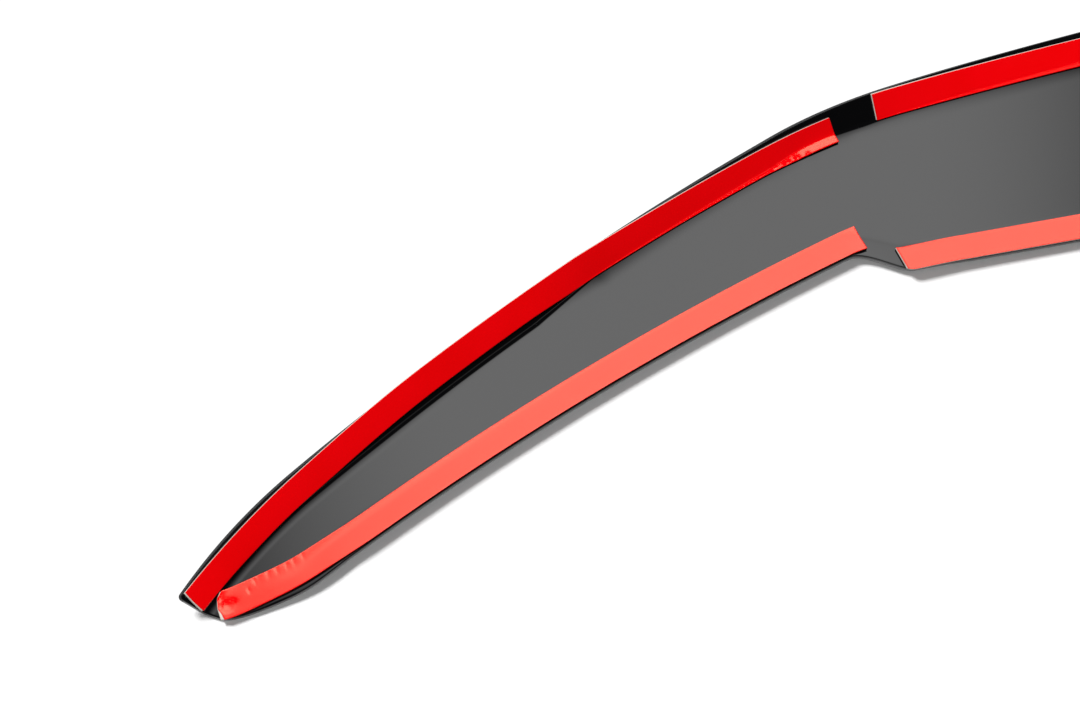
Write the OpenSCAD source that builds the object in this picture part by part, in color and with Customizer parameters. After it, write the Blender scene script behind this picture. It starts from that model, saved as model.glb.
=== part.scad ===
// Hood deflector: a formed acrylic sheet with a turned-up upper flange and a shallow lower
// flange, and six strips of foam tape along its rims, each with its red liner still on.
// Millimetres. It lies on its outer face, as it would on a bench, with the taped side up.
// X runs along the deflector, +Y towards the bowed upper rim, and the origin is on the
// bench under the middle of the whole part. Places along the part are distances along the
// upper rim from the middle, and the left side is the mirror of the right.

/* [Sheet] */
// Thickness of the acrylic sheet
sheet_t = 3; // [2:0.5:4]
// Chamfer that takes the sharpness off the trimmed edge
edge_break = 0.5; // [0.2:0.1:0.9]

/* [Upper rim line] */
// Radius of the shallow bow over the middle
bow_r = 1780; // [1400:20:2600]
// Rim length from the middle to the knee
bow_len = 270; // [240:1:290]
// Radius of the knee where the rim turns into the wing
knee_r = 345; // [280:5:500]
// Rim length round the knee
knee_len = 75; // [60:1:90]
// Radius of the long curve of the wing
wing_r = 1730; // [1300:10:2600]
// Rim length of the wing
wing_len = 310; // [280:1:380]
// Radius of the curve near the tip
tip_r = 305; // [200:5:400]
// Rim length of that last curve
tip_len = 86; // [70:1:100]

/* [Width] */
// Width across the middle, in plan from rim to rim
mid_w = 126; // [110:0.5:140]
// Width just inside the notch
notch_w = 99; // [90:0.5:106]
// Width just outside the notch
wing_w = 76.5; // [66:0.5:82]
// Width where the belly of the tip begins
belly_w = 49.5; // [42:0.5:56]
// Width left at the end cut
end_w = 19; // [13:0.5:21]

/* [Notch] */
// Place where the lower rim starts to step in
notch_at = 312; // [300:1:330]
// Length over which it steps
notch_len = 36; // [26:1:50]

/* [Tip] */
// Length over which the lower rim sweeps round to the end cut
belly_len = 69; // [55:1:76]
// Angle that the end cut leans from square to the rim
cut_lean = 12; // [0:0.5:16]
// Length over which the sections take up that lean
lean_len = 60; // [40:1:80]
// Rounding of the outer corner of the tip
corner_r = 2.5; // [1:0.5:5]

/* [Upper flange] */
// Width of the flat part of the flange, from its edge to the bend
flange_w = 13.5; // [11:0.5:20]
// Angle of the flange at the middle of the part
mid_tilt = 25; // [15:1:40]
// Angle of the flange along the wing
wing_tilt = 45; // [35:1:55]
// Inside radius of the bend at the middle
mid_bend_r = 15; // [8:0.5:18]
// Inside radius of the bend along the wing
wing_bend_r = 5; // [3:0.5:9]
// Distance from the middle within which the bend tightens to that radius
tighten_len = 270; // [200:10:300]
// Place where the flange starts to steepen
steepen_at = 150; // [80:5:200]
// Length over which it steepens
steepen_len = 220; // [120:5:300]

/* [Lower flange] */
// Width of the lower flange
low_flange_w = 14; // [10:0.5:18]
// Angle of the lower flange at the middle
low_mid_tilt = 8; // [2:0.5:12]
// Angle of the lower flange along the wing
low_wing_tilt = 13; // [2:0.5:16]
// Half length of the soft crease where the lower flange turns up
crease = 3; // [1:0.5:4]

/* [Tape] */
// Width of every tape
tape_w = 15; // [12:0.5:16]
// Thickness of the foam
foam_t = 1; // [0.6:0.1:1.5]
// Thickness of the liner
liner_t = 0.2; // [0.1:0.05:0.4]
// Bond line under the foam, and again under the liner
bond_t = 0.1; // [0.06:0.01:0.2]
// Foam that shows past the liner at the tips and at the ends of the middle tapes
foam_over = 0.4; // [0:0.1:3]

/* [Upper side tape] */
// Start of the tape, from the middle
side_from = 311; // [295:1:330]
// Rim left bare between the tape and the tip
side_tip_gap = 1; // [0.5:0.5:10]
// Place from which the tape laps past the edge
flush_from = 470; // [420:5:520]
// Place where it starts to draw back from the edge again
flush_to = 570; // [550:5:620]
// Distance from the edge at the start
side_inset = 4; // [2:0.5:7]
// Distance from the edge along the wing, where the tape laps past it to hide the cut edge
flush_inset = -1.8; // [-3:0.1:1]
// Widest distance from the edge near the tip
tip_inset = 2; // [1:0.1:4]
// Distance from the edge at the end of the tape
end_inset = 0.3; // [-1:0.1:3]
// Length before the tip over which it runs back to the edge
run_back = 48; // [20:1:80]

/* [Upper middle tape] */
// Half length of the tape
upper_mid_half = 285; // [200:1:292]
// Distance from the edge at the middle
upper_mid_inset = 5; // [2:0.5:6]
// Distance from the edge at the ends
upper_end_inset = 0.6; // [0:0.1:4]

/* [Lower side tape] */
// Start of the tape, from the middle
low_side_from = 334; // [325:1:360]
// Distance from the wing's lower rim, which the tape follows straight past the notch
low_side_inset = 0.5; // [0.4:0.1:3]
// Distance before the tip where the tape starts to sweep round the belly
low_sweep_at = 102; // [90:1:110]
// Length of that sweep
low_sweep_len = 105; // [102:1:130]
// Depth of that sweep
low_sweep_depth = 26; // [20:0.5:30]
// How far round the sweep the tape goes
low_tip_turn = 79; // [40:1:82]
// Corner cut off its end, beside the upper tape
end_clip = 5.5; // [3.5:0.5:8]

/* [Lower middle tape] */
// Half length of the tape
low_mid_half = 317; // [250:1:320]
// Distance from the lower rim
low_mid_inset = -0.4; // [-1:0.1:3]

/* [Hidden] */

deg = 180 / PI;
arcs = [[bow_r, bow_len], [knee_r, knee_len], [wing_r, wing_len], [tip_r, tip_len]];
rim_len = bow_len + knee_len + wing_len + tip_len;
notch_end = notch_at + notch_len;
belly_at = rim_len - belly_len;

// Coarsest steps between sections on the long curves, round the notch and the knee
long_step = 22;
notch_step = 5;
belly_steps = 10;
// Closest that a tape's end comes to its next section
ring_gap = 1;
// Sides of the bend in each section
bend_sides = 4;
// Half the distance between the two points that give an edge its direction
nudge = 0.2;

// Goes from 0 to 1 without a corner at either end
function ease(t) = let (c = max(0, min(1, t))) c * c * (3 - 2 * c);

function blend(a, b, t) = a + (b - a) * t;

// The upper rim line, which is a chain of tangent arcs: [x, y, heading below the X axis]
function arc_end(from, r, l) =
    let (h = from[2], e = h + l / r * deg)
    [from[0] + r * (sin(e) - sin(h)), from[1] - r * (cos(h) - cos(e)), e];

function rim_at(s, i = 0, from = [0, 0, 0]) =
    s <= arcs[i][1] || i == len(arcs) - 1
    ? arc_end(from, arcs[i][0], s)
    : rim_at(s - arcs[i][1], i + 1, arc_end(from, arcs[i][0], arcs[i][1]));

// Centre of the last arc, which gives the distance from the rim anywhere near the tip
tip_start = rim_at(rim_len - tip_len);
tip_centre = [tip_start[0] - tip_r * sin(tip_start[2]), tip_start[1] - tip_r * cos(tip_start[2])];

// Width from rim to rim: a bow in the middle, a step at the notch, a straight taper along
// the wing, and a quarter of an ellipse round the belly of the tip
function wing_width(s) = blend(wing_w, belly_w, (s - notch_end) / (belly_at - notch_end));

function bow_width(s) = blend(mid_w, notch_w, pow(s / notch_at, 2));

// Depth of a quarter of an ellipse at s, which starts level at from and ends square
function quarter(s, from, long, deep) =
    let (q = max(0, min(1, (s - from) / long))) deep * (1 - sqrt(1 - q * q));

function width_at(s) =
    blend(bow_width(s), wing_width(s), ease((s - notch_at) / notch_len))
    - quarter(s, belly_at, belly_len, wing_width(rim_len) - end_w);

// The flange steepens from the middle to the wing, and its bend tightens
function steepness(s) = ease((s - steepen_at) / steepen_len);
function tilt_at(s) = blend(mid_tilt, wing_tilt, steepness(s));
function bend_r_at(s) = blend(mid_bend_r, wing_bend_r, pow(min(1, s / tighten_len), 2));
function low_tilt_at(s) =
    blend(low_mid_tilt, low_wing_tilt, steepness(s)) * (1 - ease((s - belly_at) / belly_len));

// Unit vector across the sheet in plan, from the upper rim inwards
function inward(s) =
    let (a = rim_at(s)[2] + cut_lean * ease((s - rim_len + lean_len) / lean_len))
    [-sin(a), -cos(a)];

// Rise of the upper flange over the face at u from the rim: [height, slope]
function flange_rise(s, u) =
    let (
        t = tilt_at(s),
        r = bend_r_at(s),
        flat_run = flange_w * cos(t),
        foot = flat_run + r * sin(t)
    )
    u <= flat_run ? [r * (1 - cos(t)) + (flat_run - u) * tan(t), -tan(t)]
    : u < foot ? let (a = asin((foot - u) / r)) [r * (1 - cos(a)), -tan(a)]
    : [0, 0];

// Rise of the lower flange at v from the lower rim, with a soft crease: [height, slope]
function low_rise(s, v) =
    let (k = tan(low_tilt_at(s)), d = low_flange_w - v)
    d >= crease ? [k * d, k]
    : d > -crease ? [k * pow(d + crease, 2) / (4 * crease), k * (d + crease) / (2 * crease)]
    : [0, 0];

// Point of the section at s: u in from the upper rim, lifted off the inner surface by lift
function skin(s, u, lift = 0) =
    let (
        up = flange_rise(s, u),
        low = low_rise(s, width_at(s) - u),
        slope = up[1] + low[1],
        n = [-slope, 1] / norm([slope, 1]),
        p = rim_at(s),
        across = u + n[0] * lift
    )
    [
        p[0] + inward(s)[0] * across,
        p[1] + inward(s)[1] * across,
        sheet_t + up[0] + low[0] + n[1] * lift
    ];

// Distance in plan from the rim to a place d along the flange's own surface
function plan_of(s, d) =
    let (t = tilt_at(s), r = bend_r_at(s), a = max(0, t - (d - flange_w) / r * deg))
    d <= flange_w ? d * cos(t)
    : flange_w * cos(t) + r * (sin(t) - sin(a)) + max(0, d - flange_w - r * t / deg);

// Places in from the upper rim where each section has a point on its surface
function knots(s) =
    let (
        w = width_at(s),
        t = tilt_at(s),
        r = bend_r_at(s),
        flat_run = flange_w * cos(t),
        foot = flat_run + r * sin(t),
        squeeze = min(1, (w - 3 * edge_break) / (foot + 4 * edge_break)),
        last_r = max(0, s - rim_len + corner_r),
        start = corner_r - sqrt(corner_r * corner_r - last_r * last_r),
        turn = min(low_flange_w, (w - foot * squeeze) / 2),
        soft = min(crease, turn / 3)
    )
    concat(
        [start],
        [start + (flat_run * squeeze - start) / 2],
        [for (i = [0:bend_sides])
            (flat_run + r * (sin(t) - sin(t * (1 - i / bend_sides)))) * squeeze],
        [(foot * squeeze + w - turn) / 2],
        [for (k = [-1:1]) w - turn + k * soft],
        [w]
    );

function both_faces(low, high) = concat(low, [for (i = [len(high) - 1:-1:0]) high[i]]);

// One closed section of the sheet: along the outer face, round the lower edge, back along
// the taped side and round the upper edge
function sheet_row(s, k, lift) = [for (u = k) skin(s, u, lift)];

function section(s) =
    let (
        k = knots(s),
        n = len(k),
        inner = [for (i = [0:n - 1]) k[i] + (i == 0 ? edge_break : i == n - 1 ? -edge_break : 0)]
    )
    concat(
        sheet_row(s, inner, -sheet_t),
        [skin(s, k[n - 1], edge_break - sheet_t), skin(s, k[n - 1], -edge_break)],
        [for (i = [n - 1:-1:0]) skin(s, inner[i])],
        [skin(s, k[0], -edge_break), skin(s, k[0], edge_break - sheet_t)]
    );

function mirror_x(points) = [for (p = points) [-p[0], p[1], p[2]]];

// Places of the sections on one side, close together where the outline turns
function steps(a, b, most) =
    let (n = ceil((b - a) / most)) [for (i = [0:n - 1]) a + (b - a) * i / n];

half_places = concat(
    steps(0, bow_len, long_step),
    steps(bow_len, notch_at, 2 * notch_step),
    steps(notch_at, notch_end, notch_step),
    steps(notch_end, belly_at, long_step),
    [for (i = [0:belly_steps - 1]) belly_at + belly_len * sin(90 * i / belly_steps)],
    [rim_len]
);

function places_between(a, b) =
    concat([a], [for (s = half_places) if (s > a + ring_gap && s < b - ring_gap) s], [b]);

// A solid skinned over rings that have their points in the same order. Both halves of a ring
// split their quads along the same diagonal, so that layers laid face to face match.
module skinned(rings, cap) {
    n = len(rings[0]);
    last = (len(rings) - 1) * n;
    sides = [
        for (i = [0:len(rings) - 2], j = [0:n - 1])
        let (a = i * n + j, b = i * n + (j + 1) % n)
        each j < n / 2 ? [[a, b, a + n], [b, b + n, a + n]] : [[a, b, b + n], [a, b + n, a + n]]
    ];
    ends = [for (f = cap) each [f, [for (i = [len(f) - 1:-1:0]) f[i] + last]]];
    polyhedron(points = [for (ring = rings) each ring], faces = concat(sides, ends));
}

module sheet() {
    top = len(knots(0));
    last = 2 * top + 2;
    cap = concat(
        [for (i = [0:top - 2]) [i, last - 1 - i, last - 2 - i, i + 1]],
        [[top - 1, top + 2, top + 1, top]],
        [[0, last + 1, last, last - 1]]
    );
    skinned(to_both_sides([for (s = half_places) section(s)]), cap);
}

// Rows of a tape's section, as shares of its width: close together where it laps the bend
upper_rows = [0, 0.6, 0.8, 1];
low_rows = [1, 0.88, 0.7, 0];
tape_cap = [[0, 7, 6, 1], [1, 6, 5, 2], [2, 5, 4, 3]];

// Layers of a tape: [underside, top, how far it stops short of the tape's end]
foam = [bond_t, bond_t + foam_t, 0];
liner = [foam[1] + bond_t, foam[1] + bond_t + liner_t, foam_over];

// Distance of the upper side tape from the flange's edge
side_end = rim_len - side_tip_gap;

function side_inset_at(s) =
    let (back = max(0, (s - side_end + run_back) / run_back))
    s < flush_from ? blend(flush_inset, side_inset, (flush_from - s) / (flush_from - side_from))
    : blend(flush_inset, tip_inset, ease((s - flush_to) / (side_end - run_back - flush_to)))
        - (tip_inset - end_inset) * back * back;

function upper_mid_inset_at(s) = blend(upper_mid_inset, upper_end_inset, pow(s / upper_mid_half, 2));

function upper_row(s, inset, lift) = [for (k = upper_rows) skin(s, plan_of(s, inset + k * tape_w), lift)];

function upper_ring(s, inset, layer) =
    both_faces(upper_row(s, inset, layer[0]), upper_row(s, inset, layer[1]));

// Point in plan at w from the upper rim, along the section at s
function plan_at(s, w) = [for (i = [0:1]) rim_at(s)[i] + inward(s)[i] * w];

// Unit vector square to the line from a to b, pointing into the sheet
function square_to(a, b) = let (d = b - a) [d[1], -d[0]] / -norm(d);

// The lower middle tape keeps its distance from the bow's lower rim, and its ends are cut
// along the section
function bow_edge(s) = plan_at(s, bow_width(s));
function bow_normal(s) = square_to(bow_edge(s - nudge), bow_edge(s + nudge));

function low_mid_row(s, lift) =
    let (stretch = -1 / (bow_normal(s) * inward(s)))
    [for (k = low_rows) skin(s, width_at(s) - (low_mid_inset + k * tape_w) * stretch, lift)];

function low_mid_ring(s, layer) = both_faces(low_mid_row(s, layer[0]), low_mid_row(s, layer[1]));

// The lower side tape runs straight past the notch and sweeps round the belly on a wider
// curve than the rim. Its sections are square to its own edge.
low_sweep_from = rim_len - low_sweep_at;

function low_side_w(s) =
    wing_width(s) - low_side_inset - quarter(s, low_sweep_from, low_sweep_len, low_sweep_depth);

function low_side_edge(s) = plan_at(s, low_side_w(s));

function low_side_row(s, w, lift) =
    let (n = square_to(low_side_edge(s - nudge), low_side_edge(s + nudge)), edge = low_side_edge(s))
    [
        for (k = low_rows)
        let (
            p = edge + n * k * w,
            from_edge = k * w + width_at(s) - low_side_w(s),
            from_top = s > belly_at ? tip_r - norm(p - tip_centre) : mid_w
        )
        [p[0], p[1], sheet_t + low_rise(s, from_edge)[0] + flange_rise(s, from_top)[0] + lift]
    ];

function low_side_ring(s, layer, w = tape_w) =
    both_faces(low_side_row(s, w, layer[0]), low_side_row(s, w, layer[1]));

// Place on the rim that is a given way round the tape's sweep
function sweep_place(angle) = low_sweep_from + low_sweep_len * sin(angle);

sweep_speed = norm([low_sweep_len * cos(low_tip_turn), low_sweep_depth * sin(low_tip_turn)]);

function low_side_end(layer, before = 0) =
    sweep_place(low_tip_turn - (layer[2] + before) / sweep_speed * deg);

function clipped_end(layer) = low_side_ring(low_side_end(layer), layer, tape_w - end_clip);

module side_tape_up(layer) {
    places = places_between(side_from, side_end - layer[2]);
    skinned([for (s = places) upper_ring(s, side_inset_at(s), layer)], tape_cap);
}

module side_tape_low(layer) {
    places = places_between(low_side_from, low_side_end(layer, end_clip));
    skinned([for (s = places) low_side_ring(s, layer), clipped_end(layer)], tape_cap);
}

// Rings on both sides of the middle, from those on the right
function to_both_sides(right) =
    concat([for (i = [len(right) - 1:-1:1]) mirror_x(right[i])], right);

module middle_tape_up(layer) {
    places = places_between(0, upper_mid_half - layer[2]);
    skinned(
        to_both_sides([for (s = places) upper_ring(s, upper_mid_inset_at(s), layer)]), tape_cap
    );
}

module middle_tape_low(layer) {
    places = places_between(0, low_mid_half - layer[2]);
    skinned(to_both_sides([for (s = places) low_mid_ring(s, layer)]), tape_cap);
}

// Sets the part over the origin
outline_y = [
    for (s = half_places) each [for (p = section(s)) p[1]],
    for (p = clipped_end(foam)) p[1]
];
mid_y = (max(outline_y) + min(outline_y)) / 2;

module placed(side = 1) {
    translate([0, -mid_y, 0]) mirror([side < 0 ? 1 : 0, 0, 0]) children();
}

foam_colour = "#c9c4ba";
liner_colour = "#e1000c";

module deflector_body() {
    color("#17181a") placed() sheet();
}

module foam_upper_left() {
    color(foam_colour) placed(-1) side_tape_up(foam);
}

module foam_upper_middle() {
    color(foam_colour) placed() middle_tape_up(foam);
}

module foam_upper_right() {
    color(foam_colour) placed() side_tape_up(foam);
}

module foam_lower_left() {
    color(foam_colour) placed(-1) side_tape_low(foam);
}

module foam_lower_middle() {
    color(foam_colour) placed() middle_tape_low(foam);
}

module foam_lower_right() {
    color(foam_colour) placed() side_tape_low(foam);
}

module liner_upper_left() {
    color(liner_colour) placed(-1) side_tape_up(liner);
}

module liner_upper_middle() {
    color(liner_colour) placed() middle_tape_up(liner);
}

module liner_upper_right() {
    color(liner_colour) placed() side_tape_up(liner);
}

module liner_lower_left() {
    color(liner_colour) placed(-1) side_tape_low(liner);
}

module liner_lower_middle() {
    color(liner_colour) placed() middle_tape_low(liner);
}

module liner_lower_right() {
    color(liner_colour) placed() side_tape_low(liner);
}

deflector_body();
foam_upper_left();
foam_upper_middle();
foam_upper_right();
foam_lower_left();
foam_lower_middle();
foam_lower_right();
liner_upper_left();
liner_upper_middle();
liner_upper_right();
liner_lower_left();
liner_lower_middle();
liner_lower_right();
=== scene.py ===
# %% [markdown]
# # Hood deflector
#
# One formed sheet of glossy black acrylic lies on a white studio floor with its taped side up.
# Six strips of foam tape run along its rims, and each still has its red liner on.
#
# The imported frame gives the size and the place. This lesson builds the smooth surfaces over it
# from the same named values, then the finishes, the light and the camera.
# Lengths are millimetres until a mesh is made, and metres from there on.

import math

import bpy
import numpy as np
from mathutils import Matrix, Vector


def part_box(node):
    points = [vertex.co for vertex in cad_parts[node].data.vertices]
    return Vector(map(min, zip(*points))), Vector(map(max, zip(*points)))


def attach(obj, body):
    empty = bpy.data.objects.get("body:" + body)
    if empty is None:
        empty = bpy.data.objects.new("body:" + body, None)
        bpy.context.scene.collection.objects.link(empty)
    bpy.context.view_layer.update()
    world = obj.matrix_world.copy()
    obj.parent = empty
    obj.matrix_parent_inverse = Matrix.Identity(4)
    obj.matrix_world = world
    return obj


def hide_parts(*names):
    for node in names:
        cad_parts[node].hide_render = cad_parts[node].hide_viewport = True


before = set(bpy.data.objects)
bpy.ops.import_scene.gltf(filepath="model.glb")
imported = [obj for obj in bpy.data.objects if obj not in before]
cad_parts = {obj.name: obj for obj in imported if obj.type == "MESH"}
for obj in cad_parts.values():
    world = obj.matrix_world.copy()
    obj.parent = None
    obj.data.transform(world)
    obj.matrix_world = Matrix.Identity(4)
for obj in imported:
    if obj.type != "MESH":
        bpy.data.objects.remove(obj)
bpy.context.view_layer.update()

MM = 0.001

# %% [markdown]
# ## The rim line
#
# The long upper rim follows the front edge of a hood: a slow bow, a tighter knee, a nearly
# straight wing and a rounded tip. It could be drawn as a curve object and filled, but then the
# tapes would have no way to ask where the sheet is. So the rim is a function: four arcs in a
# row, each starting at the heading where the last one ended.
#
# A place on the part is a distance along this rim from the middle. Every function takes whole
# arrays of places at once.

# %% Two small helpers


def ease(t):
    """0 up to t = 0, 1 from t = 1 on, and smooth between."""
    c = np.clip(t, 0.0, 1.0)
    return c * c * (3 - 2 * c)


def blend(a, b, t):
    return a + (b - a) * t


# %% Rim line
# Radius and length of the bow, the knee, the wing and the tip.
RIM_ARCS = [(1780.0, 270.0), (345.0, 75.0), (1730.0, 310.0), (305.0, 86.0)]
RIM_LEN = sum(length for _, length in RIM_ARCS)


def rim_at(s):
    """Plan position of the upper rim and its heading below the X axis."""
    x = np.zeros_like(s)
    y = np.zeros_like(s)
    heading = np.zeros_like(s)
    first = 0.0
    for i, (radius, length) in enumerate(RIM_ARCS):
        most = np.inf if i == len(RIM_ARCS) - 1 else length
        run = np.clip(s - first, -np.inf if i == 0 else 0.0, most)
        end = heading + run / radius
        x = x + radius * (np.sin(end) - np.sin(heading))
        y = y - radius * (np.cos(heading) - np.cos(end))
        heading = end
        first += length
    return x, y, heading


print("rim on each side of the middle in mm:", RIM_LEN)

# %% Across from the rim
CUT_LEAN = math.radians(12.0)
LEAN_LEN = 60.0


def inward(s):
    """Unit vector across the sheet, which takes up the lean of the end cut."""
    angle = rim_at(s)[2] + CUT_LEAN * ease((s - RIM_LEN + LEAN_LEN) / LEAN_LEN)
    return -np.sin(angle), -np.cos(angle)


def plan_at(s, w):
    """Plan position at w in from the upper rim."""
    x, y, _ = rim_at(s)
    ix, iy = inward(s)
    return x + ix * w, y + iy * w


# %% [markdown]
# ## The widths
#
# The sheet is widest in the middle. It narrows in a slow bow, then quickly through the notch
# beside the lower middle tape, then evenly along the wing, and last round the belly in a
# quarter of an ellipse, down to the cut tip. A Boolean could cut all this out of an even strip,
# but its border would cross the lower flange. So the width itself changes, and the flange
# follows it as on the real sheet.

# %% Widths
MID_W = 126.0
NOTCH_W = 99.0
WING_W = 76.5
BELLY_W = 49.5
END_W = 19.0

NOTCH_AT = 312.0
NOTCH_LEN = 36.0
NOTCH_END = NOTCH_AT + NOTCH_LEN
BELLY_LEN = 69.0
BELLY_AT = RIM_LEN - BELLY_LEN


def wing_width(s):
    return blend(WING_W, BELLY_W, (s - NOTCH_END) / (BELLY_AT - NOTCH_END))


def bow_width(s):
    return blend(MID_W, NOTCH_W, (s / NOTCH_AT) ** 2)


def quarter(s, start, long, deep):
    """Depth of a quarter ellipse that starts level at start."""
    q = np.clip((s - start) / long, 0.0, 1.0)
    return deep * (1 - np.sqrt(1 - q * q))


def width_at(s):
    across = blend(bow_width(s), wing_width(s), ease((s - NOTCH_AT) / NOTCH_LEN))
    return across - quarter(s, BELLY_AT, BELLY_LEN, wing_width(RIM_LEN) - END_W)


for place_name, place in (("middle", 0.0), ("wing", 500.0), ("tip", RIM_LEN)):
    print("width in mm,", place_name, round(float(width_at(place)), 1))

# %% [markdown]
# ## The formed section
#
# Across the part, the sheet is a shallow gutter. The upper flange rises from a bend, and the
# bend runs out softly into the face, as hot acrylic does over a former. The lower flange rises
# from a soft crease and fades out towards the tip.
#
# A profile swept along a curve would make an even gutter, but this one steepens, tightens and
# narrows on its way. So its height and its slope are worked out at each place, and the two
# faces of the sheet lie off that surface along its own normal.

# %% How steep and how tight
FLANGE_W = 13.5
MID_TILT = math.radians(25.0)
WING_TILT = math.radians(45.0)
STEEPEN_AT = 150.0
STEEPEN_LEN = 220.0
MID_BEND_R = 15.0
WING_BEND_R = 5.0
TIGHTEN_LEN = 270.0


def steepness(s):
    return ease((s - STEEPEN_AT) / STEEPEN_LEN)


def tilt_at(s):
    return blend(MID_TILT, WING_TILT, steepness(s))


def even_bend_r(s):
    return blend(MID_BEND_R, WING_BEND_R, np.minimum(1.0, s / TIGHTEN_LEN) ** 2)


# %% [markdown]
# A polished face shows each small change of slope as a shift in its reflections, and the real
# sheet isn't even. Three tables hold places along the rim and what changes there: how soft the
# run-out of the bend is, what share of its even width the flange has flat, and what share of
# its even radius the bend has. Sculpting would do it too, but a table can be read and mended.

# %% Small changes along the wing
SOFT_PLACES = (300.0, 330.0, 460.0, 495.0, 540.0, 640.0, 700.0)
SOFT_SLOPES = (0.12, 0.11, 0.11, 0.06, 0.06, 0.09, 0.14)
SOFT_LENGTHS = (8.0, 13.0, 13.0, 5.0, 4.0, 4.0, 4.0)

BEND_PLACES = (292.0, 318.0, 336.0, 354.0, 430.0, 465.0, 505.0, 610.0, 660.0)
FLANGE_SHARES = (1.0, 0.91, 0.9, 1.0, 0.93, 0.87, 1.15, 1.15, 1.15)
BEND_SHARES = (1.0, 0.6, 0.6, 1.0, 0.7, 0.55, 1.1, 1.0, 0.8)


def bend_r_at(s):
    return even_bend_r(s) * np.interp(s, BEND_PLACES, BEND_SHARES)


def flange_w_at(s):
    return FLANGE_W * np.interp(s, BEND_PLACES, FLANGE_SHARES)


def soft_len(s):
    return np.interp(s, SOFT_PLACES, SOFT_LENGTHS)


# %% Upper flange


def flange_rise(s, u):
    """Height and slope of the upper flange at u from the rim.

    From the rim inwards come the flat part, the bend and its soft run-out. The share at the
    end keeps the rim at the height that the even bend gives it.
    """
    t = tilt_at(s)
    r = bend_r_at(s)
    flat = flange_w_at(s) * np.cos(t)
    foot = flat + r * np.sin(t)
    soft_slope = np.interp(s, SOFT_PLACES, SOFT_SLOPES)
    last = np.arctan(soft_slope)
    soft = soft_len(s)
    soft_at = foot - r * np.sin(last)
    lift = soft_slope * soft / 2 - r * (1 - np.cos(last))
    a = np.arcsin(np.clip((foot - u) / r, -1.0, 1.0))
    left = np.clip(1 - (u - soft_at) / soft, 0.0, 1.0)
    height = np.where(
        u <= flat,
        r * (1 - np.cos(t)) + (flat - u) * np.tan(t) + lift,
        np.where(u < soft_at, r * (1 - np.cos(a)) + lift, soft_slope * soft / 2 * left**2),
    )
    slope = np.where(u <= flat, -np.tan(t), np.where(u < soft_at, -np.tan(a), -soft_slope * left))
    even_rise = FLANGE_W * np.sin(t) + even_bend_r(s) * (1 - np.cos(t))
    share = even_rise / (flat * np.tan(t) + r * (1 - np.cos(t)) + lift)
    return height * share, slope * share


# %% Lower flange
LOW_FLANGE_W = 14.0
LOW_MID_TILT = math.radians(8.0)
LOW_WING_TILT = math.radians(13.0)
CREASE = 3.0

# Beside the notch the crease lies further in.
WIDE_AT = 320.0
WIDE_LEN = 16.0
WIDER = 4.0


def low_tilt_at(s):
    tilt = blend(LOW_MID_TILT, LOW_WING_TILT, steepness(s))
    return tilt * (1 - ease((s - BELLY_AT) / BELLY_LEN))


def low_rise(s, v):
    """Height and slope of the lower flange at v from the lower rim."""
    wide = LOW_FLANGE_W + WIDER * np.exp(-(((s - WIDE_AT) / WIDE_LEN) ** 2))
    k = np.tan(low_tilt_at(s)) * LOW_FLANGE_W / wide
    d = wide - v
    bent = np.clip(d + CREASE, 0.0, 2 * CREASE)
    height = k * bent**2 / (4 * CREASE) + k * np.maximum(0.0, d - CREASE)
    return height, k * bent / (2 * CREASE)


# %% Points on the section
SHEET_T = 3.0


def skin(s, u, lift):
    """Points of the section at s, u in from the upper rim and off the taped side by lift."""
    up = flange_rise(s, u)
    low = low_rise(s, width_at(s) - u)
    slope = up[1] + low[1]
    long = np.sqrt(slope**2 + 1)
    x, y = plan_at(s, u - slope / long * lift)
    return np.stack([x, y, SHEET_T + up[0] + low[0] + lift / long], axis=-1)


for place in (0.0, 500.0):
    rim_point = skin(np.array([place]), np.array([0.0]), np.array([0.0]))[0]
    print("height of the upper rim in mm at", place, round(float(rim_point[2]), 2))

# %% [markdown]
# ## Setting the part over the origin
#
# The chain of arcs starts at the middle of the rim, and the frame's origin lies under the
# middle of the whole part. How far the chain is moved in plan could be typed in, but it is
# safer to take it from the frame's own box: the sheet reaches furthest back where the chamfer
# of its upper rim starts.

# %% Placement
EDGE_BREAK = 0.5
_, body_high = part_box("deflector_body")
middle_rim = skin(np.array([0.0]), np.array([0.0]), np.array([-SHEET_T + EDGE_BREAK]))[0]
SHIFT_Y = body_high.y / MM - middle_rim[1]
print("plan shift in mm:", round(SHIFT_Y, 3))

# %% [markdown]
# ## Meshes from rings
#
# Every piece here is long, thin and closed. Modifiers could sweep and thicken a flat strip, but
# plain rings give each point a known place, and the faces flow along the part, which keeps its
# reflections clean. So one helper joins a run of closed rings by quads. Point i of a ring faces
# point -1 - i, so that the same pairs close both ends.

# %% Loft


def loft(name, rings):
    """A closed mesh over an array of rings, given in millimetres."""
    count, size, _ = rings.shape
    i, j = np.meshgrid(np.arange(count - 1), np.arange(size), indexing="ij")
    here = i * size + j
    after = i * size + (j + 1) % size
    sides = np.stack([here, after, after + size, here + size], axis=-1)
    k = np.arange(size // 2 - 1)
    cap = np.stack([k, size - 1 - k, size - 2 - k, k + 1], axis=-1)
    faces = np.concatenate([sides.reshape(-1, 4), cap, cap[:, ::-1] + (count - 1) * size])
    mesh = bpy.data.meshes.new(name)
    points = rings.reshape(-1, 3) * MM
    points[:, 1] += SHIFT_Y * MM
    mesh.from_pydata(points.tolist(), [], faces.tolist())
    mesh.shade_smooth()
    piece = bpy.data.objects.new(name, mesh)
    bpy.context.scene.collection.objects.link(piece)
    return piece


def mirrored(points):
    return points * np.array([-1.0, 1.0, 1.0])


def both_halves(rings):
    """The right half's rings with their mirror images before them."""
    return np.concatenate([mirrored(rings[:0:-1]), rings])


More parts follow.
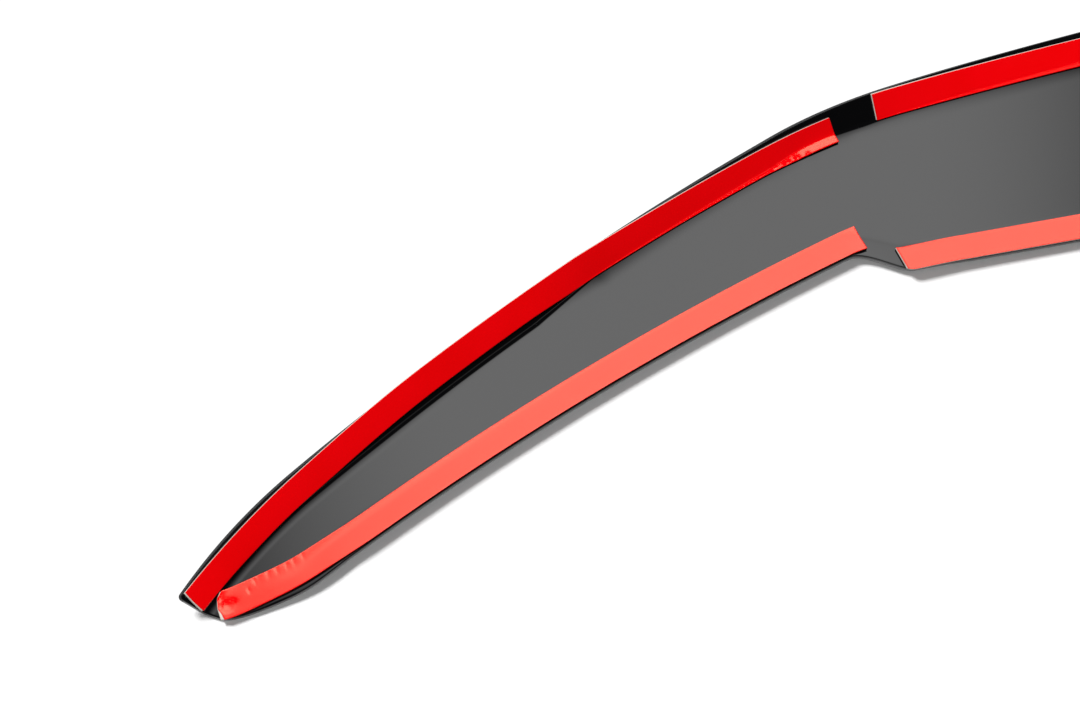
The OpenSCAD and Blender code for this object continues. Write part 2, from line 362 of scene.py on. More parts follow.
# %% [markdown]
# ## The acrylic sheet
#
# The sheet is one piece, 3 mm thick, sawn to its outline. A Solidify modifier could thicken a
# single surface, but its edges would be sharp. Here each ring runs along the taped side, round
# the lower edge and back along the outer side, and the edges are rounded on the way. The rings
# stand about 3 mm apart, and closer round the notch and the belly.

# %% Places of the sheet's rings
RING_STEP = 3.0
NOTCH_STEP = 1.5
NOTCH_ROOM = 4.0
BELLY_RINGS = 44
EDGE_R = 0.6
END_ROOM = 0.2


def spaced(a, b, step):
    """Places from a up to b, without b itself, at most a step apart."""
    return np.linspace(a, b, max(2, int(math.ceil((b - a) / step))), endpoint=False)


def sheet_places():
    round_belly = np.linspace(0, math.pi / 2, BELLY_RINGS, endpoint=False)
    belly = BELLY_AT + BELLY_LEN * np.sin(round_belly)
    run = [
        spaced(0, NOTCH_AT - NOTCH_ROOM, RING_STEP),
        spaced(NOTCH_AT - NOTCH_ROOM, NOTCH_END + NOTCH_ROOM, NOTCH_STEP),
        spaced(NOTCH_END + NOTCH_ROOM, BELLY_AT, RING_STEP),
        belly[belly < RIM_LEN - EDGE_R - END_ROOM],
    ]
    return np.concatenate(run)


# %% Across the sheet
# Points on the flange, in the bend, in its run-out, on the face, in the crease and on the
# lower flange.
POINTS_ACROSS = (8, 12, 8, 14, 8, 8)
CORNER_R = 2.5
LEAST_GAP = 0.05
LEAST_ROOM = 0.3


def across_sheet(s):
    """Distances from the rim at which each ring has points, one row for each place."""
    w = width_at(s)
    t = tilt_at(s)
    flat = flange_w_at(s) * np.cos(t)
    foot = flat + bend_r_at(s) * np.sin(t)
    last = np.maximum(0.0, s - RIM_LEN + CORNER_R)
    start = CORNER_R - np.sqrt(CORNER_R**2 - last**2)
    turn = np.minimum(LOW_FLANGE_W, (w - foot) / 2)
    soft = np.minimum(CREASE, turn / 3)
    room = w - EDGE_R
    marks = [start + EDGE_R, flat, foot, foot + soft_len(s), w - turn - soft, w - turn + soft, room]
    for i in range(1, len(marks)):
        most = room - LEAST_ROOM * (len(POINTS_ACROSS) - i)
        marks[i] = np.minimum(np.maximum(marks[i], marks[i - 1] + LEAST_GAP), most)
    steps = [
        a + (b - a) * np.arange(count)[:, None] / count
        for a, b, count in zip(marks, marks[1:], POINTS_ACROSS)
    ]
    return start, np.concatenate(steps + [marks[-1][None]]).T, w


# %% One ring round the sheet
ROUND = np.radians([0.0, 22.5, 45.0, 67.5, 90.0])

# The cut has a point on each side of its own middle line, at this share of the half thickness.
CUT_POINT = 0.3


def sheet_ring(s, squeeze):
    """Rings at the places s. squeeze brings both faces together where the end is rounded."""
    start, inner, w = across_sheet(s)
    corner = EDGE_R * 2 / SHEET_T
    rise = 1 - corner * (1 - np.cos(ROUND))
    reach = EDGE_R * (1 - np.sin(ROUND))
    face = np.ones((len(s), inner.shape[1]))
    edge_rise = np.concatenate([[CUT_POINT], rise[::-1][:-1]])
    edge_reach = np.concatenate([[0.0], reach[::-1][:-1]])
    upper = start[:, None] + edge_reach
    lower = w[:, None] - edge_reach[::-1]
    first = np.broadcast_to(edge_rise, upper.shape)
    u = np.concatenate([upper, inner, lower], axis=1)
    f = np.concatenate([first, face, first[:, ::-1]], axis=1)
    u = np.concatenate([u, u[:, ::-1]], axis=1)
    f = np.concatenate([f, -f[:, ::-1]], axis=1) * squeeze[:, None]
    return skin(s[:, None], u, (f - 1) * SHEET_T / 2)


# %% Build the sheet
plain = sheet_places()
rounded = RIM_LEN - EDGE_R + EDGE_R * np.sin(ROUND)
places = np.concatenate([plain, rounded])
thinner = 1 - EDGE_R * (1 - np.cos(ROUND)) * 2 / SHEET_T
right = sheet_ring(places, np.concatenate([np.ones(len(plain)), thinner]))
sheet = loft("acrylic_sheet", both_halves(right))
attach(sheet, "root")
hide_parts("deflector_body")
print("sheet:", len(places) * 2 - 1, "rings of", right.shape[1], "points")

# %% [markdown]
# The saw-cut edges are rough, and the lower one is also painted pale grey: painted light that
# stands in for the light it catches. A second material could be given to their faces, but its
# border would be hard. So a number named cut is stored with each point, for the roughness and for
# the share of painted light, and the finish reads it later.

# %% Mark the saw-cut edges and the lower edge's painted light
UPPER_CUT = 0.02
# Share of the painted pale grey, which is painted light, at each point round the lower edge; it
# also marks that edge as rough.
LOWER_SAWN_AND_LIT = (0.25, 0.6, 0.9, 1.0, 1.0)
sawn_and_lit = np.zeros(right.shape[1])
sawn_and_lit[:3] = UPPER_CUT
sawn_and_lit[-3:] = UPPER_CUT
lower_edge = right.shape[1] // 2
sawn_and_lit[lower_edge - 1 : lower_edge - 1 + len(LOWER_SAWN_AND_LIT)] = LOWER_SAWN_AND_LIT
cut = sheet.data.attributes.new("cut", "FLOAT", "POINT")
cut.data.foreach_set("value", np.tile(sawn_and_lit, len(places) * 2 - 1))
print("points marked as sawn in each ring:", int(np.count_nonzero(sawn_and_lit)))

# %% [markdown]
# ## The tapes
#
# Foam tape, 15 mm wide, runs along both rims: one strip on each side and one across the middle.
# Flat strips with a Shrinkwrap modifier could follow the sheet, but they would slide off the
# bends. Here a tape's place is a distance along it and a share of its width, and one function
# for each of the four runs says where that lies on the sheet.

# %% Where the upper tapes lie
TAPE_W = 15.0

SIDE_FROM = 311.0
SIDE_END = RIM_LEN - 1.0
FLUSH_FROM = 470.0
FLUSH_TO = 570.0
SIDE_INSET = 4.0
FLUSH_INSET = -1.8
TIP_INSET = 2.0
END_INSET = 0.3
RUN_BACK = 48.0

UPPER_MID_HALF = 285.0
UPPER_MID_INSET = 5.0
UPPER_END_INSET = 0.6


def plan_of(s, d):
    """Distance in plan from the rim to a place d along the flange's own surface."""
    t = tilt_at(s)
    r = bend_r_at(s)
    flat = flange_w_at(s)
    a = np.clip(t - (d - flat) / r, 0.0, t)
    beyond = np.maximum(0.0, d - flat - r * t)
    return np.minimum(d, flat) * np.cos(t) + r * (np.sin(t) - np.sin(a)) + beyond


def side_inset_at(s):
    """How far in from the rim the side tape starts: it leans out, stays, and leans in again."""
    back = np.maximum(0.0, (s - SIDE_END + RUN_BACK) / RUN_BACK)
    early = blend(FLUSH_INSET, SIDE_INSET, (FLUSH_FROM - s) / (FLUSH_FROM - SIDE_FROM))
    late = blend(FLUSH_INSET, TIP_INSET, ease((s - FLUSH_TO) / (SIDE_END - RUN_BACK - FLUSH_TO)))
    return np.where(s < FLUSH_FROM, early, late - (TIP_INSET - END_INSET) * back * back)


def middle_inset_at(s):
    return blend(UPPER_MID_INSET, UPPER_END_INSET, (s / UPPER_MID_HALF) ** 2)


def upper_side(s, k, lift):
    return skin(s, plan_of(s, side_inset_at(s) + k * TAPE_W), lift)


def upper_middle(s, k, lift):
    return skin(s, plan_of(s, middle_inset_at(s) + k * TAPE_W), lift)


# %% Where the lower middle tape lies
LOW_MID_HALF = 317.0
LOW_MID_INSET = -0.4
LOW_END_OUT = 1.1
LOW_END_FROM = 262.0
LOW_END_LEN = 46.0
NUDGE = 0.2


def square_to(ax, ay, bx, by):
    """Unit vector square to the line from a to b."""
    long = np.hypot(bx - ax, by - ay)
    return -(by - ay) / long, (bx - ax) / long


def lower_middle(s, k, lift):
    """It keeps to the lower rim, and its ends move out a little."""
    before = plan_at(s - NUDGE, bow_width(s - NUDGE))
    after = plan_at(s + NUDGE, bow_width(s + NUDGE))
    nx, ny = square_to(*before, *after)
    ix, iy = inward(s)
    stretch = -1 / (nx * ix + ny * iy)
    inset = LOW_MID_INSET - LOW_END_OUT * ease((s - LOW_END_FROM) / LOW_END_LEN)
    return skin(s, width_at(s) - (inset + k * TAPE_W) * stretch, lift)


# %% [markdown]
# The lower side tape runs along the wing and then sweeps round the belly on a quarter of an
# ellipse. Equal steps along the rim would crowd or stretch its rings there, so a table of
# lengths along the sweep turns a distance run along the tape into a place on the rim.

# %% The sweep of the lower side tape
LOW_SIDE_FROM = 334.0
LOW_SIDE_INSET = 0.5
LOW_SWEEP_FROM = RIM_LEN - 102.0
LOW_SWEEP_LEN = 105.0
LOW_SWEEP_DEPTH = 26.0
SWEEP_STEPS = 400


def low_side_w(s):
    sweep = quarter(s, LOW_SWEEP_FROM, LOW_SWEEP_LEN, LOW_SWEEP_DEPTH)
    return wing_width(s) - LOW_SIDE_INSET - sweep


SWEEP_ANGLES = np.linspace(0.0, math.pi / 2, SWEEP_STEPS)
SWEEP_SPEED = np.hypot(
    LOW_SWEEP_LEN * np.cos(SWEEP_ANGLES), LOW_SWEEP_DEPTH * np.sin(SWEEP_ANGLES)
)
SWEEP_LENGTHS = np.append(0.0, np.cumsum(SWEEP_SPEED[1:])) * SWEEP_ANGLES[1]


def sweep_place(run):
    """Place on the rim for a distance run along the tape, measured from its sweep."""
    angle = np.interp(run, SWEEP_LENGTHS, SWEEP_ANGLES)
    return LOW_SWEEP_FROM + np.minimum(run, 0.0) + LOW_SWEEP_LEN * np.sin(angle)


print("sweep of the lower side tape in mm:", round(float(SWEEP_LENGTHS[-1]), 1))

# %% Where the lower side tape lies
TIP_R, TIP_LEN = RIM_ARCS[-1]


def lower_side(run, k, lift):
    s = sweep_place(run)
    before = plan_at(s - NUDGE, low_side_w(s - NUDGE))
    after = plan_at(s + NUDGE, low_side_w(s + NUDGE))
    nx, ny = square_to(*before, *after)
    x, y = plan_at(s, low_side_w(s))
    x = x + nx * k * TAPE_W
    y = y + ny * k * TAPE_W
    tip_from = np.array([RIM_LEN - TIP_LEN])
    cx, cy, heading = rim_at(tip_from)
    cx = cx - TIP_R * np.sin(heading)
    cy = cy - TIP_R * np.cos(heading)
    from_top = np.where(s > BELLY_AT, TIP_R - np.hypot(x - cx, y - cy), MID_W)
    from_edge = k * TAPE_W + width_at(s) - low_side_w(s)
    z = SHEET_T + low_rise(s, from_edge)[0] + flange_rise(s, from_top)[0] + lift
    return np.stack([x, y, z], axis=-1)


# %% [markdown]
# ### One tape
#
# A strip of tape is soft foam with a thin red film on it. Its top is flat, and its sides bulge
# a little where the knife went through the foam. A Bevel modifier rounds both edges alike and
# would lose the bulge, so the section is drawn here. An end function moves each row's last
# point, for skewed, clipped or ragged ends. The function extra raises or presses in the top,
# and the underside by a smaller share.
#
# Stiff tape doesn't follow a tight bend: its top stays flat, and the foam gives way. That is
# what over_bend works out.

# %% Tape section
COLUMNS = 26
SIDES = 3
END_REACH = 14.0
UNDER_PART = 0.4
UNDER_SHARE = 0.4


def tape_rings(lies, places, layer, edges, first_shift, last_shift, extra, bulge):
    """Rings of a tape that lies by the function lies, between two shifted ends."""
    k = np.linspace(0.0, 1.0, COLUMNS)
    side = (np.arange(SIDES) + 0.5) / SIDES / 2 + 0.5
    ks = np.concatenate([np.zeros(SIDES), k, np.ones(SIDES)])
    h = np.concatenate([side, np.ones(COLUMNS), side[::-1]])
    out = np.sqrt(1 - (2 * h - 1) ** 2) * bulge / TAPE_W
    ks = np.where(h < 1, ks + np.where(ks > 0.5, out, -out), ks)
    ks = edges[0] + (edges[1] - edges[0]) * np.concatenate([ks, ks[::-1]])
    h = np.concatenate([h, 1 - h[::-1]])
    inside = np.clip(ks, 0.0, 1.0)
    s = np.repeat(places[:, None], len(ks), axis=1)
    s = s + first_shift(inside) * ease((places[0] + END_REACH - s) / END_REACH)
    s = s + last_shift(inside) * ease((s - places[-1] + END_REACH) / END_REACH)
    low, high = layer
    lift = low + (high - low) * h + extra(s, ks) * np.where(h > UNDER_PART, 1.0, UNDER_SHARE)
    return lies(s, ks, lift)


# %% Stiff tape over the bend
STIFF_FROM = 470.0
STIFF_LEN = 50.0
MOST_PRESSED = 0.25


def over_bend(s, d):
    """How far the foam is pressed in by the bend at d from the rim, under a flat liner."""
    past = np.maximum(0.0, d - flange_w_at(s))
    return -np.minimum(MOST_PRESSED, past**2 / (2 * bend_r_at(s)))


def stiff_middle(s, k):
    return over_bend(s, middle_inset_at(s) + k * TAPE_W)


def stiff_side(s, k):
    return over_bend(s, side_inset_at(s) + k * TAPE_W) * ease((s - STIFF_FROM) / STIFF_LEN)


def flat_extra(s, k):
    """For tapes that lie evenly on the sheet."""
    return np.zeros_like(s)


# %% [markdown]
# The strips were cut and laid by hand, so no end is quite square. A Boolean could cut the ends
# askew, but it would leave ragged faces in so thin a film. It is cleaner to move the points
# that are there. Each function below says how far an end moves along the tape, for a share k of
# its width: 0 at the rim, 1 at the inner border.

# %% Ends of the tapes
END_CLIP = 5.5


def no_shift(k):
    return np.zeros_like(k)


def longer_start(k):
    """The side tapes start a little earlier than the frame's."""
    return np.full_like(k, -0.8)


def skewed_tip(k):
    """The upper side tape was cut a little askew at the tip."""
    return -2.1 + 4.1 * k - 1.0 * k * k


def clipped_tip(k):
    """The lower side tape lost its inner corner at the tip."""
    return 0.5 + 1.6 * ease(k / 0.6) - END_CLIP * np.clip((k - 0.75) / 0.25, 0.0, 1.0)


def peeled_tip(k):
    """Its liner stops short of the foam at the outer corner."""
    return clipped_tip(k) - 1.3 * (1 - ease(k / 0.5)) + 0.2 * np.sin(19 * k)


def skewed_middle(k):
    """The upper middle tape's ends lean a little."""
    return -1.0 + 1.2 * k


def skewed_low_middle(k):
    """The lower middle tape's ends lean the other way."""
    return 1.0 - 2.0 * k


# %% [markdown]
# ### Dents and puckers
#
# The liner of the left strips is dented. Sculpting or a displacing texture could do it, but a
# few marks at known places are easier to set one by one. A mark is a small round or long hollow
# in the tape's top: its place along the tape, its share of the width, its half length, its half
# width and its depth. Along the belly the inner border is also puckered, because the tape is
# laid round a curve. By the gap between the upper tapes the strip bridges the bend.

# %% Marks in the lower left tape
LOW_MARKS = (
    (101.5, 0.43, 3.6, 2.6, 0.85),
    (105.5, 0.8, 1.6, 1.6, 0.3),
    (89.0, 0.62, 0.9, 1.3, 0.16),
    (84.0, 0.86, 1.0, 1.6, 0.1),
)
PUCKERS = (81.0, 74.5, 68.0, 60.0, 54.0, 46.5)
PUCKER_LEAN = 3.0
PUCKER_HALF = 1.4
PUCKER_DEPTH = 0.07
PUCKER_FROM = 0.6
PUCKER_EASE = 0.35


def hollows(s, k, marks):
    lift = np.zeros_like(s)
    for along, share, half_length, half_width, depth in marks:
        away = ((s - along) / half_length) ** 2 + ((k - share) * TAPE_W / half_width) ** 2
        lift -= depth * np.exp(-away)
    return lift


def low_left_dents(s, k):
    lift = hollows(s, k, LOW_MARKS)
    for along in PUCKERS:
        leaning = along + PUCKER_LEAN * (1 - k)
        pucker = PUCKER_DEPTH * np.exp(-(((s - leaning) / PUCKER_HALF) ** 2))
        lift -= pucker * ease((k - PUCKER_FROM) / PUCKER_EASE)
    return lift


# %% Marks in the upper left tape
UPPER_MARKS = (
    (329.0, 0.97, 1.3, 1.5, 0.22),
    (335.5, 0.93, 1.5, 1.8, 0.3),
    (342.0, 0.93, 1.8, 1.8, 0.3),
    (350.0, 0.9, 2.2, 2.0, 0.25),
)
BRIDGE_RISE = 0.5
BRIDGE_TO = 345.0
BRIDGE_LEN = 22.0
BRIDGE_FROM = 0.45
BRIDGE_EASE = 0.55


def upper_left_dents(s, k):
    bridge = BRIDGE_RISE * ease((BRIDGE_TO - s) / BRIDGE_LEN)
    bridge = bridge * ease((k - BRIDGE_FROM) / BRIDGE_EASE)
    return stiff_side(s, k) + bridge + hollows(s, k, UPPER_MARKS)


print("marks:", len(LOW_MARKS) + len(UPPER_MARKS), "and", len(PUCKERS), "puckers")

# %% [markdown]
# ### The twelve strips
#
# Six tapes of two layers each: the foam, and the liner that a fitter peels off. A Mirror
# modifier could make one side from the other, but it would copy the dents too. So each strip is
# built on its own, and the left ones have closer rings to carry their dents. A mirrored ring is
# also turned round, or its faces would look inwards.

# %% Layers of a tape
TAPE_STEP = 1.5
FINE_STEP = 0.6
FOAM = (0.04, 1.2)
LINER = (1.2, 1.42)
FOAM_OVER = 0.4
LOW_TIP_TURN = math.radians(79.0)
SWEEP_END = float(np.interp(LOW_TIP_TURN, SWEEP_ANGLES, SWEEP_LENGTHS))

# Name, heights of the layer over the sheet, how much shorter its ends are, bulge of its sides,
# shares of the width from which to which it runs in the upper side, the upper middle and the
# lower tapes, and the lower side tape's tip.
LAYERS = (
    ("foam", FOAM, 0.0, 0.12, (0.0, 0.97), (-0.008, 0.97), (0.03, 0.97), clipped_tip),
    ("liner", LINER, FOAM_OVER, 0.05, (-0.012, 1.0), (0.004, 1.0), (0.0, 1.0), peeled_tip),
)


def run_of(start, end, step=TAPE_STEP):
    return np.append(spaced(start, end, step), end)


def strip(kind, where, side, rings):
    """One layer of one tape, put in place of its node in the frame."""
    points = mirrored(rings)[:, ::-1] if side == "left" else rings
    piece = loft(f"{kind}_tape_{where}_{side}", points)
    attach(piece, "root")
    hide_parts(f"{kind}_{where}_{side}")
    return piece


# %% Build the twelve strips
dented = {"upper": upper_left_dents, "lower": low_left_dents}
even = {"upper": stiff_side, "lower": flat_extra}
strips = []
for kind, layer, short, bulge, upper_edges, middle_edges, lower_edges, low_tip in LAYERS:
    for side, extra, step in (("left", dented, FINE_STEP), ("right", even, TAPE_STEP)):
        run = run_of(SIDE_FROM, SIDE_END - short, step)
        shape = (upper_edges, longer_start, skewed_tip, extra["upper"], bulge)
        strips.append(strip(kind, "upper", side, tape_rings(upper_side, run, layer, *shape)))
        run = run_of(LOW_SIDE_FROM - LOW_SWEEP_FROM, SWEEP_END - short, step)
        shape = (lower_edges, longer_start, low_tip, extra["lower"], bulge)
        strips.append(strip(kind, "lower", side, tape_rings(lower_side, run, layer, *shape)))
    run = run_of(0.0, UPPER_MID_HALF - short)
    shape = (middle_edges, no_shift, skewed_middle, stiff_middle, bulge)
    rings = tape_rings(upper_middle, run, layer, *shape)
    strips.append(strip(kind, "upper", "middle", both_halves(rings)))
    run = run_of(0.0, LOW_MID_HALF - short)
    shape = (lower_edges, no_shift, skewed_low_middle, flat_extra, bulge)
    rings = tape_rings(lower_middle, run, layer, *shape)
    strips.append(strip(kind, "lower", "middle", both_halves(rings)))
print("strips:", len(strips))

# %% [markdown]
# ## Finishes
#
# A finish is a tree of nodes. They could be added one by one and linked by hand, but a sum of
# three terms then takes a dozen lines. A small class wraps a socket instead, so that a shader's
# sums are written as ordinary arithmetic.

# %% Shader arithmetic


class Wire:
    """A socket of a shader tree that adds, multiplies and mixes like a number."""

    def __init__(self, tree, socket=None):
        self.tree = tree
        self.socket = socket

    def make(self, kind, settings=None, inputs=None, output=0):
        node = self.tree.nodes.new(kind)
        for name, value in (settings or {}).items():
            setattr(node, name, value)
        for name, value in (inputs or {}).items():
            if isinstance(value, Wire):
                self.tree.links.new(value.socket, node.inputs[name])
            else:
                node.inputs[name].default_value = value
        return Wire(self.tree, node.outputs[output] if node.outputs else None)

    def math(self, operation, a, b=0.0):
        return self.make("ShaderNodeMath", {"operation": operation}, {0: a, 1: b})

    def __add__(self, other):
        return self.math("ADD", self, other)

    def __radd__(self, other):
        return self.math("ADD", other, self)

    def __sub__(self, other):
        return self.math("SUBTRACT", self, other)

    def __rsub__(self, other):
        return self.math("SUBTRACT", other, self)

    def __mul__(self, other):
        return self.math("MULTIPLY", self, other)

    def __rmul__(self, other):
        return self.math("MULTIPLY", other, self)

    def __truediv__(self, other):
        return self.math("DIVIDE", self, other)

    def __rtruediv__(self, other):
        return self.math("DIVIDE", other, self)

    def __neg__(self):
        return self.math("MULTIPLY", self, -1.0)

    def at_least(self, other):
        return self.math("MAXIMUM", self, other)

    def ramp(self, low, high):
        """0 below low, 1 above high, smooth between."""
        inputs = {"Value": self, "From Min": low, "From Max": high}
        return self.make("ShaderNodeMapRange", {"interpolation_type": "SMOOTHSTEP"}, inputs)

    def mix(self, a, b):
        """The number a where this is 0, b where it is 1."""
        return self.make("ShaderNodeMix", None, {0: self, 2: a, 3: b})

    def tint(self, a, b):
        """Colour a where this is 0, colour b where it is 1."""
        inputs = {0: self, 6: a, 7: b}
        return self.make("ShaderNodeMix", {"data_type": "RGBA"}, inputs, output=2)

    def dot(self, vector):
        inputs = {0: self, 1: vector}
        return self.make("ShaderNodeVectorMath", {"operation": "DOT_PRODUCT"}, inputs, output=1)

    def noise(self, scale, detail=2.0):
        inputs = {"Vector": self, "Scale": scale, "Detail": detail}
        return self.make("ShaderNodeTexNoise", None, inputs)


# %% A new finish


def new_finish(name):
    """A material with only its surface node and a wire at the object's own coordinates."""
    material = bpy.data.materials.new(name)
    material.use_nodes = True
    tree = material.node_tree
    surface = tree.nodes["Principled BSDF"]
    return material, surface, Wire(tree).make("ShaderNodeTexCoord", output=3)


def feed(surface, name, value):
    if isinstance(value, Wire):
        value.tree.links.new(value.socket, surface.inputs[name])
    else:
        surface.inputs[name].default_value = value


# %% [markdown]
# ### Black acrylic
#
# Polished acrylic is nearly black and mirrors the room. A flat black with an even roughness
# looks like a picture of glass, so a faint noise moves both, as wiping and handling do. The
# saw-cut edges, marked by cut, are rough all round, and below they are painted pale grey: painted
# light for the light that the lower edge catches.

# %% Black acrylic
BLACK_DEEP = (0.0015, 0.0015, 0.0017, 1)
BLACK_WORN = (0.0025, 0.0025, 0.0028, 1)
# Painted light: the pale grey painted on the lower saw-cut edge for the light that it catches.
PAINTED_LIGHT_GREY = (0.3, 0.3, 0.303, 1)
SAWN_ROUGH = 0.55

acrylic, surface, at = new_finish("black_acrylic")
cut = at.make("ShaderNodeAttribute", {"attribute_name": "cut"}, output=2)
polish_rough = 0.035 + 0.03 * at.noise(14.0, 4.0)
# Base colour: black acrylic, with the lower saw-cut edge painted pale grey as painted light.
feed(surface, "Base Color", cut.tint(at.noise(6.0).tint(BLACK_DEEP, BLACK_WORN), PAINTED_LIGHT_GREY))
feed(surface, "Roughness", polish_rough + SAWN_ROUGH * cut.ramp(0.0, UPPER_CUT))
feed(surface, "IOR", 1.49)
print("finish:", acrylic.name)

# %% [markdown]
# ### Red liner
#
# The liner is a smooth plastic film in one strong red. It could be built as a thin see-through
# layer over the foam, but that would be slow and noisy for no gain. A glossy red does it, with
# a tinted highlight that stays warm where the room is bright.

# %% Red liner
RED_DEEP = (0.73, 0.0, 0.001, 1)
RED_BRIGHT = (0.81, 0.0, 0.003, 1)

liner, surface, at = new_finish("red_liner")
feed(surface, "Base Color", at.noise(40.0).tint(RED_DEEP, RED_BRIGHT))
feed(surface, "Roughness", 0.09 + 0.05 * at.noise(90.0, 3.0))
feed(surface, "IOR", 1.5)
feed(surface, "Specular IOR Level", 0.75)
feed(surface, "Specular Tint", (1.0, 1.0, 0.68, 1))
print("finish:", liner.name)

# %% [markdown]
# ### Foam
#
# Only the cut sides of the foam show, as a matt cream line with a fine grain. A bump could
# carry the cells, but the line is about two pixels wide, so a change of colour is enough.

# %% Foam
CREAM_DARK = (0.5, 0.46, 0.41, 1)
CREAM_PALE = (0.66, 0.61, 0.55, 1)

foam, surface, at = new_finish("cream_foam")
feed(surface, "Base Color", at.noise(900.0, 3.0).tint(CREAM_DARK, CREAM_PALE))
feed(surface, "Roughness", 0.85)

finishes = {"acrylic": acrylic, "foam": foam, "liner": liner}
sheet.data.materials.append(acrylic)
for piece in strips:
    piece.data.materials.append(finishes[piece.name.split("_")[0]])
print("finish:", foam.name, "and pieces given one:", 1 + len(strips))

# %% [markdown]
# ## The floor
#
# The part lies on plain white paper. A curved studio backdrop could be modelled, but the camera
# looks down and never sees a horizon, so a flat square is enough.

# %% Floor
FLOOR_HALF = 3.0
corners = [(-1, -1), (1, -1), (1, 1), (-1, 1)]
floor_points = [(x * FLOOR_HALF, y * FLOOR_HALF, 0.0) for x, y in corners]
floor_mesh = bpy.data.meshes.new("studio_floor")
floor_mesh.from_pydata(floor_points, [], [(0, 1, 2, 3)])
floor = bpy.data.objects.new("studio_floor", floor_mesh)
bpy.context.scene.collection.objects.link(floor)
paper, surface, at = new_finish("white_paper")
feed(surface, "Base Color", (0.95, 0.95, 0.95, 1))
feed(surface, "Roughness", 1.0)
feed(surface, "Specular IOR Level", 0.0)
floor.data.materials.append(paper)
print("floor in metres:", 2 * FLOOR_HALF, "by", 2 * FLOOR_HALF)

# %% [markdown]
# ## The lamps
#
# In the photo the floor is white right up to the part, with a soft grey shadow just below the
# lower rim, while the part itself is lit evenly. One set of lamps for everything would wash out
# either the shadow or the red. So light linking gives each sun its own receivers. A key lamp
# from the far left and a weaker one by the camera light only the floor. A broad lamp high up
# fills only the part. None of them shows in the glossy faces.
#
# UP, NORTH and EAST are directions as the camera has them: NORTH leads away from it.

# %% A sun for chosen pieces
UP = np.array([0.0, 0.0, 1.0])
NORTH = np.array([0.199, 0.98, 0.0])
EAST = np.array([0.98, -0.199, 0.0])


def sun(name, towards, strength, spread, lit):
    """A sun whose light comes from the direction towards and falls only on the pieces lit."""
    data = bpy.data.lights.new(name, "SUN")
    data.energy = strength
    data.angle = math.radians(spread)
    lamp = bpy.data.objects.new(name, data)
    bpy.context.scene.collection.objects.link(lamp)
    z = towards / np.linalg.norm(towards)
    x = np.cross(NORTH, z)
    x = x / np.linalg.norm(x)
    y = np.cross(z, x)
    for column, axis in enumerate((x, y, z)):
        for row in range(3):
            lamp.matrix_world[row][column] = axis[row]
    lamp.visible_glossy = False
    group = bpy.data.collections.new(name + "_lights")
    for piece in lit:
        group.objects.link(piece)
    lamp.light_linking.receiver_collection = group
    print("sun:", name, "lights", len(lit), "of the pieces")


# %% Lamps
KEY_RISE = math.radians(50.0)
KEY_TURN = math.radians(56.0)
KEY_LIGHT, KEY_SPREAD = 3.65, 17.0
OVERHEAD_LEAN = 0.445
OVERHEAD_LIGHT, OVERHEAD_SPREAD = 0.72, 4.0
FILL_LEAN = 0.15
FILL_LIGHT, FILL_SPREAD = 4.4, 50.0

level_part = NORTH * math.cos(KEY_TURN) - EAST * math.sin(KEY_TURN)
towards_key = level_part * math.cos(KEY_RISE) + UP * math.sin(KEY_RISE)
sun("key", towards_key, KEY_LIGHT, KEY_SPREAD, [floor])
sun("overhead", UP - NORTH * OVERHEAD_LEAN, OVERHEAD_LIGHT, OVERHEAD_SPREAD, [floor])
sun("fill", NORTH * FILL_LEAN + UP, FILL_LIGHT, FILL_SPREAD, [sheet, *strips])

# %% [markdown]
# ## What the glossy faces see
#
# A glossy black part looks like what it mirrors: here a long soft box over the bench, a thin
# strip of light nearer the camera, and a dark room. Area lamps could hang there, but each
# highlight would then be tuned by moving and sizing lamps. Instead the world draws the light
# for each mirrored direction. rise is how steeply the direction goes up, and north and east
# say where it meets a ceiling one step above: 0 is straight overhead, 1 is as far off as the
# ceiling is high.

# %% Mirrored directions
world = bpy.data.worlds.new("studio")
bpy.context.scene.world = world
world.use_nodes = True
world.cycles.sampling_method = "NONE"
tree = world.node_tree
tree.nodes.clear()

HORIZON = (0.02, 0.08)
direction = Wire(tree).make("ShaderNodeNewGeometry", output="Incoming")
rise = -direction.dot((0.0, 0.0, 1.0))
north = -direction.dot(tuple(NORTH)) / rise
east = -direction.dot(tuple(EAST)) / rise
above = rise.ramp(*HORIZON)

# %% [markdown]
# The soft box is a strip that runs north. It has a soft round-off to both sides of its middle
# line, and it widens with its distance. Past its west border a dimmer light goes on, as from a
# pale wall.

# %% Soft box
BOX_LIGHT = 3.4
BOX_NEAR = (0.2, 0.39)
BOX_FAR = (1.73, 2.7)
BOX_DIM = 0.18
BOX_DIM_RANGE = (0.577, 0.9)
BOX_MIDDLE = 0.0617
BOX_HALF = 0.075
BOX_FADE = 0.115
WEST_RANGE = (0.36, 0.9)
WEST_WIDER = 0.262
WEST_SOFTER = 0.185
EAST_RANGE = (0.62, 0.8)
EAST_WIDER = 0.5
WALL_LIGHT = 0.3
WALL_MORE = 0.33
WALL_RANGE = (0.06, 0.14)

west = BOX_MIDDLE - east
widening = north.ramp(*WEST_RANGE)
west_off = (west - BOX_HALF - WEST_WIDER * widening) / (BOX_FADE + WEST_SOFTER * widening)
east_off = (-west - BOX_HALF - EAST_WIDER * north.ramp(*EAST_RANGE)) / BOX_FADE
off = west_off.at_least(east_off).at_least(0.0)
pale_wall = (WALL_LIGHT + WALL_MORE * widening) * west.ramp(*WALL_RANGE)
long_box = (1.0 - off * off).at_least(pale_wall)
dimmer = 1.0 - BOX_DIM * north.ramp(*BOX_DIM_RANGE)
far_end = 1.0 - north.ramp(*BOX_FAR)
soft_box = BOX_LIGHT * long_box * north.ramp(*BOX_NEAR) * dimmer * far_end * above
print("soft box from north", BOX_NEAR[0], "to", BOX_FAR[1])

# %% Thin strip
THIN_LIGHT = 0.8
THIN_SOUTH = 0.3
THIN_HALF = 0.07
THIN_EAST = (0.52, 0.66)

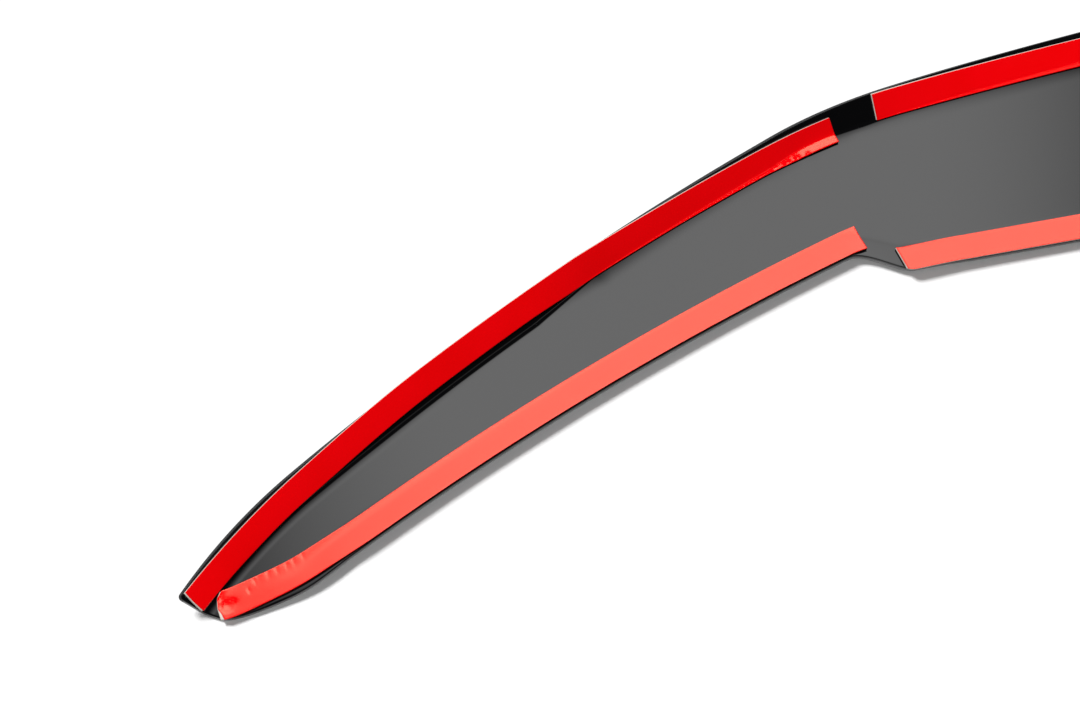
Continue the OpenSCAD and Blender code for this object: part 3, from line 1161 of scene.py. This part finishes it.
thin_off = (north + THIN_SOUTH) / THIN_HALF
thin_line = (1.0 - thin_off * thin_off).at_least(0.0)
thin_strip = THIN_LIGHT * thin_line * east.ramp(*THIN_EAST) * above

# %% [markdown]
# The camera itself sees plain white past the floor, mirrored rays see the lights above, and all
# other rays get a faint even glow. A Light Path node tells the three apart.

# %% Surroundings
ROOM_GLOW = 0.012
EVEN_GLOW = 0.04

from_camera = Wire(tree).make("ShaderNodeLightPath", output="Is Camera Ray")
from_gloss = Wire(tree).make("ShaderNodeLightPath", output="Is Glossy Ray")
level = from_gloss.mix(EVEN_GLOW, soft_box + thin_strip + ROOM_GLOW)
level = from_camera.mix(level, 1.0)
glow = level.make("ShaderNodeBackground", None, {"Color": (1, 1, 1, 1), "Strength": level})
glow.make("ShaderNodeOutputWorld", None, {"Surface": glow})
print("nodes in the world:", len(tree.nodes))

# %% [markdown]
# ## The camera
#
# It stands where the photographer stood: turned a little to the left, looking down, and aimed
# at the left wing. Three numbers place it: how far it is turned, how steeply it looks, and how
# far off it is. A constraint could aim it, but a matrix that is written once needs no update.
# The long lens keeps both ends of the part at nearly one scale.

# %% Camera
LENS = 100.0
FILM_WIDTH = 36.0
AZIMUTH = math.radians(-11.469963864513254)
ELEVATION = math.radians(66.0)
TARGET = np.array([-0.484491, -0.01477, 0.003])
DISTANCE = 1.541

data = bpy.data.cameras.new("camera")
data.lens = LENS
data.sensor_width = FILM_WIDTH
camera = bpy.data.objects.new("camera", data)
bpy.context.scene.collection.objects.link(camera)
bpy.context.scene.camera = camera
back = np.array(
    [
        math.sin(AZIMUTH) * math.cos(ELEVATION),
        -math.cos(AZIMUTH) * math.cos(ELEVATION),
        math.sin(ELEVATION),
    ]
)
across = np.cross(UP, back)
across = across / np.linalg.norm(across)
upwards = np.cross(back, across)
stands_at = TARGET + back * DISTANCE
for column, axis in enumerate((across, upwards, back, stands_at)):
    for row in range(3):
        camera.matrix_world[row][column] = axis[row]
bpy.context.scene.view_settings.view_transform = "Standard"
print("camera at:", [round(float(v), 3) for v in stands_at])
